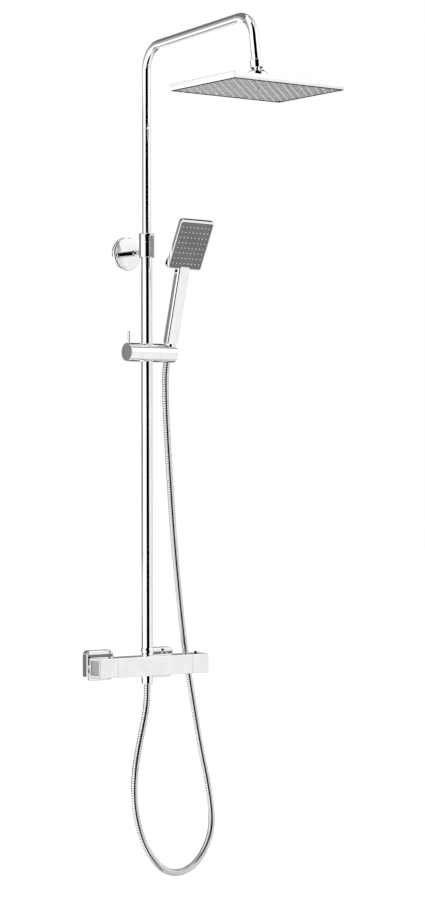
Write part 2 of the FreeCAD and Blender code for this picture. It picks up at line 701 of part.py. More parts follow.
# ---- swan neck and swivel ----
def bent_path(points, radii):
    """Straight runs joined by tangent arcs, one radius for each inner point."""
    edges = []
    start = points[0]
    for before, corner, after, radius in zip(points, points[1:], points[2:], radii):
        to_before = (before - corner).normalize()
        to_after = (after - corner).normalize()
        half_turn = (math.pi - to_before.getAngle(to_after)) / 2
        reach = radius * math.tan(half_turn)
        begin = corner + to_before * reach
        end = corner + to_after * reach
        inward = (to_before + to_after).normalize()
        middle = corner + inward * (radius / math.cos(half_turn) - radius)
        edges.append(Part.LineSegment(start, begin).toShape())
        edges.append(Part.Arc(begin, middle, end).toShape())
        start = end
    edges.append(Part.LineSegment(start, points[-1]).toShape())
    return Part.Wire(edges)


def swept(path, radius):
    """Round bar along a path of runs and arcs."""
    start = path.OrderedVertexes[0].Point
    first = path.OrderedEdges[0]
    away = first.tangentAt(first.FirstParameter)
    ring = Part.Wire([Part.Circle(start, away, radius).toShape()])
    return path.makePipeShell([ring], True, False)


def arm_path():
    rise = math.tan(math.radians(ARM_RISE))
    lean = math.tan(math.radians(DROP_LEAN))
    across = BALL_OUT - RISER_OUT
    # the arm's line z = ARM_CORNER_Z + t * rise meets the drop's line t = across - (z - BALL_Z) * lean
    t = (across - (ARM_CORNER_Z - BALL_Z) * lean) / (1 + rise * lean)
    points = [
        V(0, RISER_Y, UPPER_BOTTOM_Z),
        V(0, RISER_Y, ARM_CORNER_Z),
        V(0, RISER_Y - t, ARM_CORNER_Z + t * rise),
        BALL + STEM_UP * ARM_END,
    ]
    return bent_path(points, [BEND_R, BEND_R])


def upper_riser_arm():
    path = arm_path()
    return swept(path, UPPER_R).cut(swept(path, UPPER_R - UPPER_WALL))


def arm_end_nut():
    seat = ARM_END - STEM_FLANGE
    top = ARM_NUT_START + ARM_NUT_LENGTH
    bevel = 1.0
    bore = UPPER_R + SEAT
    profile = [
        (BALL_NECK_R + SEAT, ARM_NUT_START), (ARM_NUT_R - bevel, ARM_NUT_START), (ARM_NUT_R, ARM_NUT_START + bevel),
        (ARM_NUT_R, top - bevel), (ARM_NUT_R - bevel, top), (bore, top), (bore, seat), (BALL_NECK_R + SEAT, seat),
    ]
    return turned(profile, BALL, STEM_UP)


def ball_stem():
    flange_top = ARM_END
    sphere = Part.makeSphere(BALL_R, BALL)
    neck = rod(BALL_NECK_R, 0, flange_top, BALL, STEM_UP)
    flange = rod(UPPER_R, flange_top - STEM_FLANGE, flange_top, BALL, STEM_UP)
    bore = rod(BALL_BORE_R, -BALL_R - 1, flange_top, BALL, STEM_UP)
    return sphere.fuse([neck, flange]).cut(bore).removeSplitter()


def ball_seat_ring():
    outer = LINER_R + LINER_WALL
    profile = [
        ball_point(LINER_R, LINER_TOP), ball_arc(LINER_R, LINER_TOP, LINER_BOTTOM),
        ball_point(outer, LINER_BOTTOM), ball_arc(outer, LINER_BOTTOM, LINER_TOP),
    ]
    return turned(profile, BALL, AXIS_Z)


def split_angle():
    return math.degrees(math.acos(-SWIVEL_SPLIT / SOCKET_R))


def swivel_nut():
    opening_r, opening_s = ball_point(SOCKET_R, SOCKET_OPENING)
    profile = [
        ball_point(SOCKET_R, split_angle()), ball_arc(SOCKET_R, split_angle(), SOCKET_OPENING),
        (opening_r + 1.2, opening_s + 0.9), (SWIVEL_NUT_R, SWIVEL_SHOULDER), (SWIVEL_NUT_R, -SWIVEL_SPLIT),
    ]
    return turned(profile, BALL, AXIS_Z)


def swivel_socket():
    foot = HEAD_TOP_Z - BALL_Z
    floor_s = ball_point(SOCKET_R, SOCKET_BOTTOM)[1] - 2
    profile = [
        ball_point(SOCKET_R, split_angle()), ball_arc(SOCKET_R, split_angle(), SOCKET_BOTTOM),
        (RISER_BORE_R, floor_s), (RISER_BORE_R, foot), (SWIVEL_SOCKET_R, foot), (SWIVEL_SOCKET_R, -SWIVEL_SPLIT),
    ]
    return turned(profile, BALL, AXIS_Z)


# ---- overhead head ----
def head_box(inset, z0, z1):
    half_x = HEAD_LENGTH / 2 - inset
    half_y = HEAD_WIDTH / 2 - inset
    return box(-half_x, half_x, -BALL_OUT - half_y, -BALL_OUT + half_y, z0, z1)


def head_outline(grow, z):
    slab = head_box(-grow, z, z + 1)
    slab = slab.makeFillet(HEAD_CORNER, edges_along(slab, AXIS_Z))
    return next(face.OuterWire for face in slab.Faces if abs(face.CenterOfMass.z - z) < 1e-6)


def head_shell():
    """Upright rim over a skirt that narrows to the underside."""
    skirt_top = HEAD_BOTTOM_Z + HEAD_FLARE_HEIGHT
    skirt = Part.makeLoft([head_outline(0, HEAD_BOTTOM_Z), head_outline(HEAD_FLARE, skirt_top)], True, True)
    rim = head_box(-HEAD_FLARE, skirt_top, HEAD_TOP_Z)
    rim = rim.makeFillet(HEAD_CORNER, edges_along(rim, AXIS_Z))
    rim = rim.makeFillet(HEAD_CORNER / 2, edges_at(rim, AXIS_Z, HEAD_TOP_Z))
    shell = skirt.fuse(rim).removeSplitter()
    hollow = head_box(HEAD_WALL, HEAD_BOTTOM_Z, HEAD_TOP_Z - HEAD_ROOF)
    inlet = rod(RISER_BORE_R, HEAD_BOTTOM_Z, HEAD_TOP_Z, V(0, -BALL_OUT, 0), AXIS_Z)
    return shell.cut([hollow, inlet])


def head_face_plate():
    return head_box(HEAD_WALL + SEAT, FACE_BOTTOM_Z, FACE_BOTTOM_Z + FACE_THICK)


def head_gasket():
    top = HEAD_TOP_Z - HEAD_ROOF
    bottom = FACE_BOTTOM_Z + FACE_THICK
    outer = head_box(HEAD_WALL + SEAT, bottom, top)
    return outer.cut(head_box(HEAD_WALL + 3, bottom, top))


def head_centre_cap():
    return rod(CAP_R, FACE_BOTTOM_Z - CAP_DROP, FACE_BOTTOM_Z, V(0, -BALL_OUT, 0), AXIS_Z)


def nozzle(root_r, tip_r, height, base, axis):
    return Part.makeCone(root_r, tip_r, height, base, axis)


def head_nozzles():
    """Two square grids of spray nozzles, the second in the middle of the first one's squares."""
    reach_x = HEAD_LENGTH / 2 - NOZZLE_MARGIN
    reach_y = HEAD_WIDTH / 2 - NOZZLE_MARGIN
    columns = int(reach_x // NOZZLE_PITCH)
    rows = int(reach_y // NOZZLE_PITCH)
    solids = []
    for shift in (0, NOZZLE_PITCH / 2):
        for i in range(-columns - 1, columns + 1):
            for j in range(-rows - 1, rows + 1):
                x = i * NOZZLE_PITCH + shift
                y = j * NOZZLE_PITCH + shift
                inside = abs(x) <= reach_x and abs(y) <= reach_y
                if inside and math.hypot(x, y) > CAP_R + 2 * NOZZLE_R:
                    base = V(x, y - BALL_OUT, FACE_BOTTOM_Z)
                    solids.append(nozzle(NOZZLE_R, NOZZLE_TIP_R, NOZZLE_DROP, base, -AXIS_Z))
    return group(solids)


# ---- slider ----
SLIDER = V(0, RISER_Y, SLIDER_Z)
BUSH_OUTER_R = LOWER_R + RUN + BUSH_WALL


def slider_bush():
    return tube(BUSH_OUTER_R, LOWER_R + RUN, -BUSH_HALF, BUSH_HALF, SLIDER, AXIS_Z)


def slider_body():
    barrel = rod(BARREL_R, -BODY_HALF, BODY_HALF, SLIDER, AXIS_X)
    riser_hole = rod(BUSH_OUTER_R + RUN, -BARREL_R, BARREL_R, SLIDER, AXIS_Z)
    screw_hole = rod(CLAMP_SCREW_R + RUN, -BODY_HALF, 0, SLIDER, AXIS_X)
    pivot_hole = rod(PIVOT_R + RUN, 0, BODY_HALF, SLIDER, AXIS_X)
    return barrel.cut([riser_hole, screw_hole, pivot_hole])


CLAMP_START_X = -BODY_HALF - CLAMP_LENGTH
LEVER_X = CLAMP_START_X + LEVER_FROM_END
CLAMP_SCREW_TIP_X = -BUSH_OUTER_R - FACE_GAP


def clamp_screw():
    return rod(CLAMP_SCREW_R, CLAMP_SCREW_TIP_X - CLAMP_SCREW_GRIP, CLAMP_SCREW_TIP_X, SLIDER, AXIS_X)


def clamp_knob():
    knob = rod(BARREL_R, CLAMP_START_X, -BODY_HALF - CURVED_GAP, SLIDER, AXIS_X)
    knob = knob.makeFillet(0.8, edges_at(knob, AXIS_X, CLAMP_START_X))
    lever_hole = rod(LEVER_R, LEVER_ROOT, BARREL_R + 1, SLIDER + AXIS_X * LEVER_X, AXIS_Z)
    return knob.cut([clamp_screw(), lever_hole])


def lever_pin():
    top = BARREL_R + LEVER_RISE
    pin = rod(LEVER_R, LEVER_ROOT, top, SLIDER + AXIS_X * LEVER_X, AXIS_Z)
    return pin.makeFillet(0.8, edges_at(pin, AXIS_Z, SLIDER_Z + top))


def cone_radius(station):
    share = (station - CONE_BOTTOM) / (CONE_TOP - CONE_BOTTOM)
    return CONE_BOTTOM_R + share * (CONE_TOP_R - CONE_BOTTOM_R)


def leaning(shape):
    """Moves a piece from its upright frame, centred on the slider's axis, to the handset's lean."""
    shape.rotate(V(0, 0, 0), AXIS_X, HANDSET_LEAN)
    shape.translate(CONE_CENTRE)
    return shape


def on_handset(shape):
    shape.rotate(V(0, 0, 0), AXIS_Z, -HANDSET_TURN)
    return leaning(shape)


def handset_holder():
    """Right part of the barrel, with a tapered seat for the hose's cone and a slot that lets the hose in."""
    barrel = rod(BARREL_R, BODY_HALF + CURVED_GAP, HOLDER_END_X, SLIDER, AXIS_X)
    barrel = barrel.makeFillet(0.8, edges_at(barrel, AXIS_X, HOLDER_END_X))
    pivot = rod(PIVOT_R, BODY_HALF + CURVED_GAP - PIVOT_LENGTH, BODY_HALF + CURVED_GAP, SLIDER, AXIS_X)
    reach = 1.5 * BARREL_R
    low_r = cone_radius(-reach) + CURVED_GAP
    high_r = cone_radius(reach) + CURVED_GAP
    seat = leaning(Part.makeCone(low_r, high_r, 2 * reach, V(0, 0, -reach), AXIS_Z))
    half_slot = SLOT_WIDTH / 2
    slot = leaning(box(0, HOLDER_LENGTH, -half_slot, half_slot, -reach, reach))
    return barrel.fuse(pivot).cut([seat, slot]).removeSplitter()


# ---- hose ends and handset, upright, then leaned ----
ORIGIN = V(0, 0, 0)


def hose_cone_nut():
    profile = [
        (FERRULE_R + RUN, CONE_BOTTOM), (CONE_BOTTOM_R, CONE_BOTTOM), (CONE_TOP_R, CONE_TOP),
        (INLET_R + SEAT, CONE_TOP), (INLET_R + SEAT, CONE_SEAT), (FERRULE_R + RUN, CONE_SEAT),
    ]
    return leaning(turned(profile, ORIGIN, AXIS_Z))


def hose_end_ferrule():
    return leaning(tube(FERRULE_R, BALL_BORE_R * 1.5, FERRULE_END, CONE_SEAT - RUN, ORIGIN, AXIS_Z))


def spray_frame(shape):
    """Moves a piece of the spray head from its own upright frame to its lean on the handle."""
    shape.rotate(V(0, 0, 0), AXIS_X, SPRAY_LEAN)
    shape.translate(V(0, -SPRAY_EDGE_FRONT, SPRAY_EDGE_STATION))
    return on_handset(shape)


def handle_bar(grow):
    half = HANDLE_WIDTH / 2 + grow
    bar = box(-half, half, -HANDLE_FRONT - grow, HANDLE_BACK + grow, CONE_TOP, HANDLE_TOP + grow)
    return bar.makeFillet(HANDLE_EDGE, edges_along(bar, AXIS_Z))


def spray_face_box(inset, y0, y1):
    half = SPRAY_WIDTH / 2 - inset
    plate = box(-half, half, y0, y1, inset, SPRAY_LENGTH - inset - SPRAY_RIM_TOP + SPRAY_RIM)
    return plate.makeFillet(SPRAY_FACE_CORNER, edges_along(plate, AXIS_Y))


def handset_body():
    half = SPRAY_WIDTH / 2
    head = box(-half, half, 0, SPRAY_DEPTH, 0, SPRAY_LENGTH)
    head = head.makeFillet(SPRAY_CORNER, edges_along(head, AXIS_Y))
    head = head.makeFillet(SPRAY_BACK_EDGE, edges_at(head, AXIS_Y, SPRAY_DEPTH))
    foot_back = SPRAY_DEPTH + SPRAY_FOOT
    foot = box(-half, half, SPRAY_DEPTH - SPRAY_BACK_EDGE - 1, foot_back, 0, SPRAY_FOOT_LENGTH)
    foot = foot.makeFillet(SPRAY_CORNER, edges_along(foot, AXIS_Y))
    foot = foot.makeFillet(SPRAY_FOOT / 2, edges_at(foot, AXIS_Y, foot_back))
    head = head.fuse(foot).removeSplitter()
    head = head.cut(spray_face_box(SPRAY_RIM, 0, SPRAY_FACE))
    wall = SPRAY_CAVITY_WALL
    cavity = box(wall - half, half - wall, SPRAY_FACE, SPRAY_DEPTH - 2, wall, SPRAY_LENGTH - wall)
    head = spray_frame(head)
    cavity = spray_frame(cavity)
    handle = on_handset(handle_bar(0))
    inlet = leaning(rod(INLET_R, INLET_END, CONE_TOP, ORIGIN, AXIS_Z))
    water = leaning(rod(HANDLE_BORE_R, INLET_END, HANDLE_TOP - 3, ORIGIN, AXIS_Z))
    return handle.fuse([head, inlet]).cut([water, cavity]).removeSplitter()


def handset_face_plate():
    plate = spray_frame(spray_face_box(SPRAY_RIM + SEAT, 0.2, SPRAY_FACE))
    return plate.cut(on_handset(handle_bar(SEAT)))


def handset_nozzles():
    solids = []
    for i in range(SPRAY_NOZZLES):
        for j in range(SPRAY_NOZZLES):
            x = (i - (SPRAY_NOZZLES - 1) / 2) * SPRAY_PITCH_X
            z = SPRAY_NOZZLES_MIDDLE + (j - (SPRAY_NOZZLES - 1) / 2) * SPRAY_PITCH_Z
            solids.append(nozzle(SPRAY_NOZZLE_R, SPRAY_NOZZLE_TIP_R, SPRAY_NOZZLE_RISE, V(x, 0.2, z), OUTWARD))
    return spray_frame(group(solids))


# ---- hose ----
def hose_valve_nut():
    bottom = HALF_BAR + HOSE_NUT_DEPTH
    seat = HALF_BAR + VALVE_SPIGOT + HOSE_WASHER
    bevel = 1.2
    profile = [
        (VALVE_SPIGOT_R + SEAT, HALF_BAR), (HOSE_NUT_R - bevel, HALF_BAR), (HOSE_NUT_R, HALF_BAR + bevel),
        (HOSE_NUT_R, bottom - bevel), (HOSE_NUT_R - bevel, bottom), (FERRULE_R + SEAT, bottom),
        (FERRULE_R + SEAT, seat), (VALVE_SPIGOT_R + SEAT, seat),
    ]
    return turned(profile, VALVE_CENTRE, -AXIS_Z)


def hose_valve_washer():
    top = HALF_BAR + VALVE_SPIGOT
    return tube(VALVE_SPIGOT_R, RISER_BORE_R, top, top + HOSE_WASHER, VALVE_CENTRE, -AXIS_Z)


def hose_valve_ferrule():
    top = HALF_BAR + VALVE_SPIGOT + HOSE_WASHER
    return tube(FERRULE_R, BALL_BORE_R * 1.5, top, -HOSE_OUT_Z, VALVE_CENTRE, -AXIS_Z)


def shower_hose():
    points = [V(x, -out, z) for x, out, z in HOSE_ROUTE]
    radii = []
    for before, corner, after in zip(points, points[1:], points[2:]):
        shorter = min((corner - before).Length, (after - corner).Length)
        half_turn = (corner - before).getAngle(after - corner) / 2
        radii.append(0.45 * shorter / math.tan(half_turn))
    path = bent_path(points, radii)
    hose = swept(path, HOSE_R)
    print("hose length", round(path.Length), "bend radii", [round(r) for r in radii])
    print("hose volume over section times length", round(hose.Volume / (math.pi * HOSE_R ** 2 * path.Length), 4))
    return hose


def main():
    os.makedirs("parts", exist_ok=True)
    left_plate, right_plate = at_inlets(wall_plate)
    flow_end = BODY_LEFT - CARTRIDGE_INSET
    thermo_end = BODY_RIGHT - CARTRIDGE_INSET
    flow_knob_end = BODY_LEFT + FACE_GAP + knob_stations(FLOW_KNOB_LENGTH)[0]
    temp_knob_end = BODY_RIGHT + FACE_GAP + knob_stations(TEMP_KNOB_LENGTH)[0]
    pieces = {
        "left_wall_plate": left_plate,
        "right_wall_plate": right_plate,
        "wall_connectors": group(at_inlets(wall_connector)),
        "union_nuts": group(at_inlets(union_nut)),
        "inlet_washers": group(at_inlets(inlet_washer)),
        "check_valves": group(at_inlets(check_valve)),
        "valve_body": valve_body(),
        "flow_cartridge": cartridge(FLOW_CARTRIDGE_R, flow_end, FLOW_CARTRIDGE_LENGTH, FLOW_SPINDLE_R, -AXIS_X),
        "flow_spindle": spindle(FLOW_SPINDLE_R, FLOW_CARTRIDGE_R, flow_end, flow_knob_end, -AXIS_X),
        "flow_knob": on_left(square_knob(FLOW_KNOB_LENGTH, FLOW_SPINDLE_R)),
        "flow_end_cap": on_left(end_cap(FLOW_KNOB_LENGTH)),
        "flow_knob_screw": on_left(knob_screw(FLOW_KNOB_LENGTH)),
        "thermostat_cartridge": cartridge(THERMO_CARTRIDGE_R, thermo_end, THERMO_CARTRIDGE_LENGTH, TEMP_SPINDLE_R,
                                          AXIS_X),
        "wax_element": wax_element(),
        "temperature_spindle": spindle(TEMP_SPINDLE_R, THERMO_CARTRIDGE_R, thermo_end, temp_knob_end, AXIS_X),
        "stop_ring": stop_ring(),
        "temperature_knob": temperature_knob(),
        "temperature_end_cap": on_right(end_cap(TEMP_KNOB_LENGTH)),
        "temperature_knob_screw": on_right(knob_screw(TEMP_KNOB_LENGTH)),
        "safety_button": safety_button(),
        "button_spring": button_spring(),
        "riser_union_nut": riser_union_nut(),
        "riser_washer": riser_washer(),
        "lower_riser_tube": lower_riser_tube(),
        "riser_guide_bush": riser_guide_bush(),
        "bracket_base": bracket_base(),
        "bracket_disc": bracket_disc(),
        "bracket_standoff": bracket_standoff(),
        "bracket_lock_nut": bracket_lock_nut(),
        "bracket_stem": bracket_stem(),
        "bracket_collar": bracket_collar(),
        "collar_cover": collar_cover(),
        "compression_nut": compression_nut(),
        "compression_ring": compression_ring(),
        "upper_riser_arm": upper_riser_arm(),
        "arm_end_nut": arm_end_nut(),
        "ball_stem": ball_stem(),
        "ball_seat_ring": ball_seat_ring(),
        "swivel_nut": swivel_nut(),
        "swivel_socket": swivel_socket(),
        "head_shell": head_shell(),
        "head_gasket": head_gasket(),
        "head_face_plate": head_face_plate(),
        "head_centre_cap": head_centre_cap(),
        "head_nozzles": head_nozzles(),
        "slider_bush": slider_bush(),
        "slider_body": slider_body(),
        "clamp_screw": clamp_screw(),
        "clamp_knob": clamp_knob(),
        "lever_pin": lever_pin(),
        "handset_holder": handset_holder(),
        "hose_end_ferrule": hose_end_ferrule(),
        "hose_cone_nut": hose_cone_nut(),
        "handset_body": handset_body(),
        "handset_face_plate": handset_face_plate(),
        "handset_nozzles": handset_nozzles(),
        "hose_valve_nut": hose_valve_nut(),
        "hose_valve_washer": hose_valve_washer(),
        "hose_valve_ferrule": hose_valve_ferrule(),
        "shower_hose": shower_hose(),
    }
    for name, shape in pieces.items():
        save(name, shape)
    print(len(pieces), "nodes")


main()
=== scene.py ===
"""Looks of the rainfall shower column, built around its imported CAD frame. Metres, in the CAD's own frame."""
import json
import math

import bpy
import numpy as np
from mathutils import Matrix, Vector


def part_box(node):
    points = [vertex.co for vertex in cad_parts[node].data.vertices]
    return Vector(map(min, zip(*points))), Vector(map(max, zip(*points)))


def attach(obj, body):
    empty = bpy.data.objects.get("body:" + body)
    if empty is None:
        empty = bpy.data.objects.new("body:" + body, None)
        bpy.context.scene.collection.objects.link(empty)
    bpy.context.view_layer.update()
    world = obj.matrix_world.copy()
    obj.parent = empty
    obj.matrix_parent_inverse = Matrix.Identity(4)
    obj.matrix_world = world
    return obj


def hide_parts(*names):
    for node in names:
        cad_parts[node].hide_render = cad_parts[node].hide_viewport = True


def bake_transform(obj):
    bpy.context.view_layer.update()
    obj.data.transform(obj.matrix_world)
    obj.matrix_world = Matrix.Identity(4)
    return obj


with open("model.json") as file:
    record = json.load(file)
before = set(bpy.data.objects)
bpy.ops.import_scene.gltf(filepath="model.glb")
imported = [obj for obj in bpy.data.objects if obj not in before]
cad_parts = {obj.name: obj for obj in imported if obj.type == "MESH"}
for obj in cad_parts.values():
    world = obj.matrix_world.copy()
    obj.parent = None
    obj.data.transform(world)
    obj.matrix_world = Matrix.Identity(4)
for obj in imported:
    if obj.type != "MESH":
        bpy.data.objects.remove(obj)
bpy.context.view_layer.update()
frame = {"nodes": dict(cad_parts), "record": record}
nodes = frame["nodes"]

# ---- camera ----
CAMERA_PLACE = Vector((-2.96528, -4.32808, 0.39781))
CAMERA_AZIMUTH = math.radians(36.372)
CAMERA_PITCH = math.radians(0.467)
CAMERA_ROLL = math.radians(0.086)
CAMERA_LENS = 101.39

camera = bpy.data.objects.new("camera", bpy.data.cameras.new("camera"))
bpy.context.scene.collection.objects.link(camera)
camera.data.lens = CAMERA_LENS
camera.data.sensor_width = 36.0
camera.data.clip_start = 0.1
camera.data.clip_end = 100.0
camera.location = CAMERA_PLACE
camera.rotation_mode = "XYZ"
camera.rotation_euler = (math.pi / 2 + CAMERA_PITCH, CAMERA_ROLL, -CAMERA_AZIMUTH)
bpy.context.scene.camera = camera
bpy.context.scene.view_settings.view_transform = "Standard"


# ---- materials ----
class Nodes:
    """Short calls for building a node tree."""

    def __init__(self, tree):
        self.tree = tree
        tree.nodes.clear()

    @classmethod
    def onto(cls, tree):
        """More nodes for a tree that has some already."""
        n = cls.__new__(cls)
        n.tree = tree
        return n

    def add(self, kind, inputs=None, **settings):
        node = self.tree.nodes.new(kind)
        for name, value in settings.items():
            setattr(node, name, value)
        for key, value in (inputs or {}).items():
            if isinstance(value, bpy.types.NodeSocket):
                self.tree.links.new(value, node.inputs[key])
            else:
                node.inputs[key].default_value = value
        return node

    def math(self, operation, a, b=0.0):
        return self.add("ShaderNodeMath", {0: a, 1: b}, operation=operation).outputs[0]

    def ramp(self, factor, low, high, start=0.0, end=1.0):
        """factor from start..end to low..high, smoothly."""
        inputs = {"Value": factor, "From Min": start, "From Max": end, "To Min": low, "To Max": high}
        node = self.add("ShaderNodeMapRange", inputs, interpolation_type="SMOOTHSTEP")
        return node.outputs["Result"]

    def place(self):
        """The object's own coordinates."""
        return self.add("ShaderNodeTexCoord").outputs["Object"]

    def noise(self, scale, detail):
        """Noise over the object's own coordinates, in cycles per metre."""
        inputs = {"Vector": self.place(), "Scale": scale, "Detail": detail}
        return self.add("ShaderNodeTexNoise", inputs).outputs["Fac"]

    def dot(self, vector, x, y, z):
        inputs = {0: vector, 1: (x, y, z)}
        return self.add("ShaderNodeVectorMath", inputs, operation="DOT_PRODUCT").outputs["Value"]

    def mix(self, factor, first, second):
        """Colour that goes from the first to the second as factor goes from 0 to 1."""
        # Sockets 0, 6 and 7 are the factor and the two colours of a Mix node that mixes colours.
        return self.add("ShaderNodeMix", data_type="RGBA", inputs={0: factor, 6: first, 7: second}).outputs[2]


WANDER_SCALE = 30.0
GRAIN_SCALE = 400.0


def material(name, dark, light, rough, metallic=0.0):
    """Procedural finish: colour wanders between two values, and roughness between two more more finely."""
    made = bpy.data.materials.new(name)
    made.use_nodes = True
    n = Nodes(made.node_tree)
    wander = n.ramp(n.noise(WANDER_SCALE, 4.0), 0.0, 1.0, 0.3, 0.7)
    inputs = {
        "Base Color": n.mix(wander, (*dark, 1.0), (*light, 1.0)),
        "Roughness": n.ramp(n.noise(GRAIN_SCALE, 3.0), rough[0], rough[1], 0.3, 0.7),
        "Metallic": metallic,
    }
    shader = n.add("ShaderNodeBsdfPrincipled", inputs)
    n.add("ShaderNodeOutputMaterial", {"Surface": shader.outputs[0]})
    return made


def recoloured(made, masked_by, second):
    """The same finish with a second colour where the mask that masked_by(n) works out is one."""
    n = Nodes.onto(made.node_tree)
    shader = next(node for node in made.node_tree.nodes if node.type == "BSDF_PRINCIPLED")
    first = shader.inputs["Base Color"].links[0].from_socket
    made.node_tree.links.new(n.mix(masked_by(n), first, second), shader.inputs["Base Color"])
    return made


def groove_shade_mask(n):
    """Mask of the painted shade in the hose's grooves, from the value that each of its points carries."""
    groove = n.add("ShaderNodeAttribute", attribute_name="groove").outputs["Fac"]
    return n.ramp(groove, 0.0, 0.95, 0.05, 0.6)


DIMPLE_PITCH = 0.0133


def on_dimples(n):
    """Mask of a fine lattice over the head's face plate, between its nozzles."""
    place = n.place()
    turns = 2 * math.pi / DIMPLE_PITCH
    across = n.math("SINE", n.dot(place, turns, 0.0, 0.0))
    outward = n.math("SINE", n.dot(place, 0.0, turns, 0.0))
    return n.ramp(n.math("MULTIPLY", across, outward), 0.0, 0.4, 0.1, 0.9)


# Near-black colour painted into the hose's grooves: painted shade.
GROOVE_PAINTED_SHADE = (0.03, 0.03, 0.032, 1.0)
DIMPLE_COLOUR = (0.85, 0.85, 0.86, 1.0)
FINISHES = {
    "chrome": material("chrome", (0.86, 0.865, 0.875), (0.91, 0.915, 0.92), (0.015, 0.04), 1.0),
    "chrome_plastic": material("chrome_plastic", (0.85, 0.855, 0.865), (0.9, 0.905, 0.91), (0.02, 0.05), 1.0),
    "brass": material("brass", (0.55, 0.38, 0.14), (0.68, 0.5, 0.22), (0.2, 0.4), 1.0),
    "steel": material("steel", (0.42, 0.42, 0.43), (0.56, 0.56, 0.57), (0.22, 0.38), 1.0),
    "grey_plastic": material("grey_plastic", (0.26, 0.265, 0.27), (0.31, 0.315, 0.32), (0.3, 0.42), 0.0),
    "dark_plastic": material("dark_plastic", (0.13, 0.135, 0.14), (0.16, 0.165, 0.17), (0.28, 0.4), 0.0),
    "white_plastic": material("white_plastic", (0.76, 0.76, 0.74), (0.82, 0.82, 0.8), (0.35, 0.5), 0.0),
    "rubber": material("rubber", (0.012, 0.012, 0.012), (0.03, 0.03, 0.03), (0.55, 0.8), 0.0),
    "silicone": material("silicone", (0.62, 0.63, 0.64), (0.7, 0.71, 0.72), (0.4, 0.6), 0.0),
    "button": material("button", (0.01, 0.01, 0.011), (0.02, 0.02, 0.022), (0.25, 0.4), 0.0),
    "panel": material("panel", (0.47, 0.475, 0.48), (0.53, 0.535, 0.54), (0.5, 0.6), 0.6),
    "frame_white": material("frame_white", (0.9, 0.9, 0.9), (0.95, 0.95, 0.95), (0.4, 0.5), 0.0),
}
hose_metal = material("hose_metal", (0.78, 0.785, 0.79), (0.86, 0.865, 0.87), (0.04, 0.09), 1.0)
rain_face = material("rain_face", (0.26, 0.265, 0.27), (0.31, 0.315, 0.32), (0.3, 0.42), 0.0)
# The hose metal is painted near black in its grooves: painted shade.
FINISHES["hose_metal"] = recoloured(hose_metal, groove_shade_mask, GROOVE_PAINTED_SHADE)
FINISHES["rain_face"] = recoloured(rain_face, on_dimples, DIMPLE_COLOUR)


# ---- CAD nodes ----
slot_of = {s["node"]: s["material_slot"] for s in frame["record"]["subparts"]}


def finish(obj, slot):
    obj.data.materials.clear()
    obj.data.materials.append(FINISHES[slot])


SHARP_EDGE = math.radians(16)
JOIN_DISTANCE = 0.00001


def clean_shading():
    """Node group that joins a mesh's split points and shades it smooth, except at edges over SHARP_EDGE."""
    group = bpy.data.node_groups.new("clean_shading", "GeometryNodeTree")
    group.interface.new_socket("Geometry", in_out="INPUT", socket_type="NodeSocketGeometry")
    group.interface.new_socket("Geometry", in_out="OUTPUT", socket_type="NodeSocketGeometry")
    n = Nodes(group)
    start = n.add("NodeGroupInput").outputs[0]
    joined = n.add("GeometryNodeMergeByDistance", {"Geometry": start, "Distance": JOIN_DISTANCE}).outputs[0]
    angle = n.add("GeometryNodeInputMeshEdgeAngle").outputs["Unsigned Angle"]
    sharp = n.add("FunctionNodeCompare", {0: angle, 1: SHARP_EDGE}, operation="GREATER_THAN").outputs[0]
    shaded = n.add("GeometryNodeSetMeshNormal", mode="SHARPNESS")
    shaded.inputs["Remove Custom"].default_value = True
    shaded.inputs["Face Sharpness"].default_value = False
    group.links.new(joined, shaded.inputs[0])
    group.links.new(sharp, shaded.inputs["Edge Sharpness"])
    n.add("NodeGroupOutput", {0: shaded.outputs[0]})
    return group


# The collar cover is chrome but takes the grey panel finish: a painted grey reflection.
finish_of = dict(slot_of, collar_cover="panel", head_face_plate="rain_face")
CLEAN_SHADING = clean_shading()
for name, node in nodes.items():
    finish(node, finish_of[name])
    node.modifiers.new("clean_shading", "NODES").node_group = CLEAN_SHADING
    node.modifiers.new("flat_faces_first", "WEIGHTED_NORMAL").keep_sharp = True


# ---- hose ----
HOSE_DIAMETER = 0.014
RIDGE_PITCH = 0.005
RINGS_PER_RIDGE = 10
HOSE_SIDES = 24
GROOVE_DEPTH = 0.0006
GROOVE_HALF_WIDTH = 0.17  # share of the pitch
HOSE_ROUTE_MM = [
    (54.0, 70.757, 621.117),
    (54.0, 65.6, 603.1),
    (58.0, 60.0, 560.0),
    (65.5, 53.0, 495.0),
    (78.0, 45.5, 395.0),
    (92.0, 38.0, 280.0),
    (108.0, 34.0, 155.0),
    (127.0, 31.0, 25.0),
    (143.0, 37.0, -82.0),
    (154.0, 49.0, -180.0),
    (164.0, 58.0, -245.0),
    (171.0, 64.0, -306.0),
    (169.0, 68.0, -345.0),
    (157.0, 70.0, -376.0),
    (138.0, 72.0, -403.0),
    (112.0, 73.5, -423.0),
    (77.0, 75.0, -432.0),
    (41.0, 76.0, -423.0),
    (13.0, 76.0, -396.0),
    (-9.0, 76.0, -363.0),
    (-24.0, 76.0, -322.0),
    (-33.0, 76.0, -275.0),
    (-32.0, 76.0, -222.0),
    (-22.0, 76.0, -168.0),
    (-9.0, 76.0, -118.0),
    (0.0, 76.0, -76.0),
    (0.0, 76.0, -38.0),
]


def smooth_line(points):
    """Points along the NURBS curve that has these control points."""
    curve = bpy.data.curves.new("route", "CURVE")
    curve.dimensions = "3D"
    spline = curve.splines.new("NURBS")
    spline.points.add(len(points) - 1)
    for place, point in zip(spline.points, points):
        place.co = (*point, 1.0)
    spline.order_u = 3
    spline.use_endpoint_u = True
    spline.resolution_u = 24
    holder = bpy.data.objects.new("route", curve)
    mesh = bpy.data.meshes.new_from_object(holder)
    line = np.array([v.co for v in mesh.vertices], float)
    bpy.data.meshes.remove(mesh)
    bpy.data.objects.remove(holder)
    bpy.data.curves.remove(curve)
    return line


